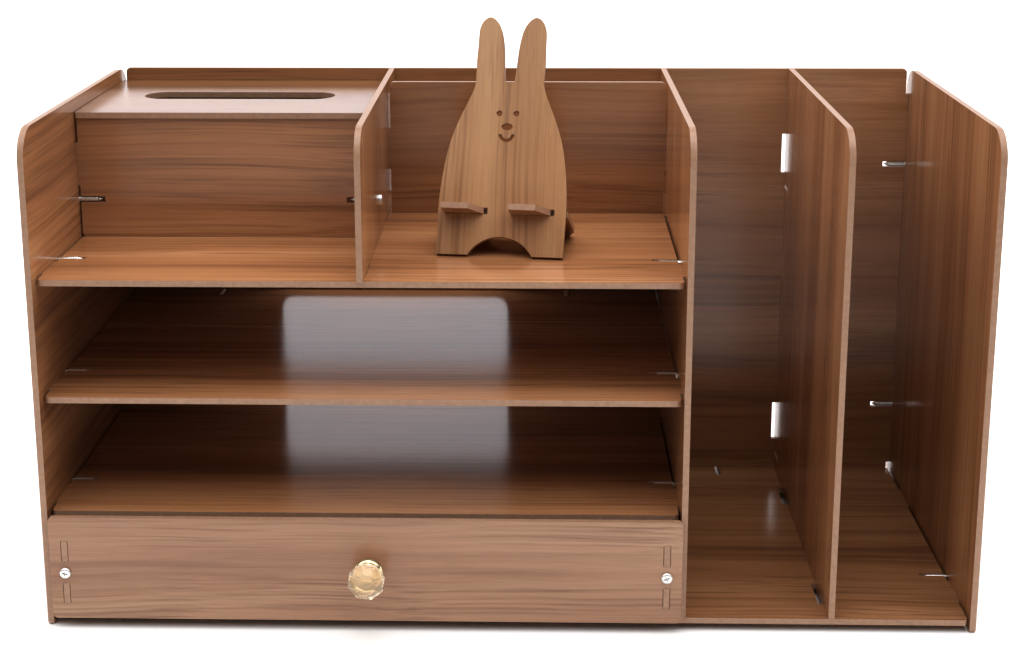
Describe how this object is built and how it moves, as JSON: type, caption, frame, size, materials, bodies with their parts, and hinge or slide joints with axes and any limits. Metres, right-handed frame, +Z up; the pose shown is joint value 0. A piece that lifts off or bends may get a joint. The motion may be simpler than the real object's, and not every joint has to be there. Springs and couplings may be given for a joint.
{
  "type": "tiered letter tray organizer",
  "caption": "Walnut-veneer desk organizer of slotted boards: letter trays over a drawer, file bays, a lidded tissue box, a pen bay and a phone stand",
  "frame": {"origin": "middle of the whole model's box on the ground", "axes": "+X to the viewer's right, -Y toward the viewer, +Z up"},
  "size_m": [0.4884, 0.2398, 0.3071],
  "materials": {
    "walnut_board": "satin",
    "beech_board": "satin",
    "gilt_metal": "polished",
    "clear_crystal": "polished",
    "zinc_steel": "polished"
  },
  "bodies": {
    "frame": {"left_side_panel": "walnut_board", "right_side_panel": "walnut_board", "tray_partition": "walnut_board", "file_divider": "walnut_board", "bottom_panel": "walnut_board", "lower_shelf": "walnut_board", "middle_shelf": "walnut_board", "top_shelf": "walnut_board", "tissue_front_panel": "walnut_board", "tissue_divider": "walnut_board", "pen_bay_panel": "walnut_board", "back_panel": "walnut_board", "tissue_lid_rest": "walnut_board", "left_panel_screws": "zinc_steel", "right_panel_screws": "zinc_steel", "partition_screws": "zinc_steel", "tissue_divider_screws": "zinc_steel", "back_panel_screws": "zinc_steel"},
    "drawer": {"drawer_front": "walnut_board", "drawer_left_side": "walnut_board", "drawer_right_side": "walnut_board", "drawer_back": "walnut_board", "drawer_bottom": "walnut_board", "knob_base": "gilt_metal", "knob_crystal": "clear_crystal", "knob_screw": "zinc_steel", "drawer_front_screws": "zinc_steel", "drawer_back_screws": "zinc_steel"},
    "tissue_lid": {"tissue_lid": "walnut_board"},
    "phone_stand": {"phone_stand_front": "beech_board", "phone_stand_prongs": "beech_board"}
  },
  "joints": [
    {"name": "drawer_slide", "type": "slide", "parent": "frame", "child": "drawer", "axis": [0, -1, 0], "range_m": [0, 0.16]},
    {"name": "tissue_lid_lift", "type": "slide", "parent": "frame", "child": "tissue_lid", "axis": [0, 0, 1], "range_m": [0, 0.05]},
    {"name": "phone_stand_lift", "type": "slide", "parent": "frame", "child": "phone_stand", "axis": [0, 0, 1], "range_m": [0, 0.06]}
  ]
}
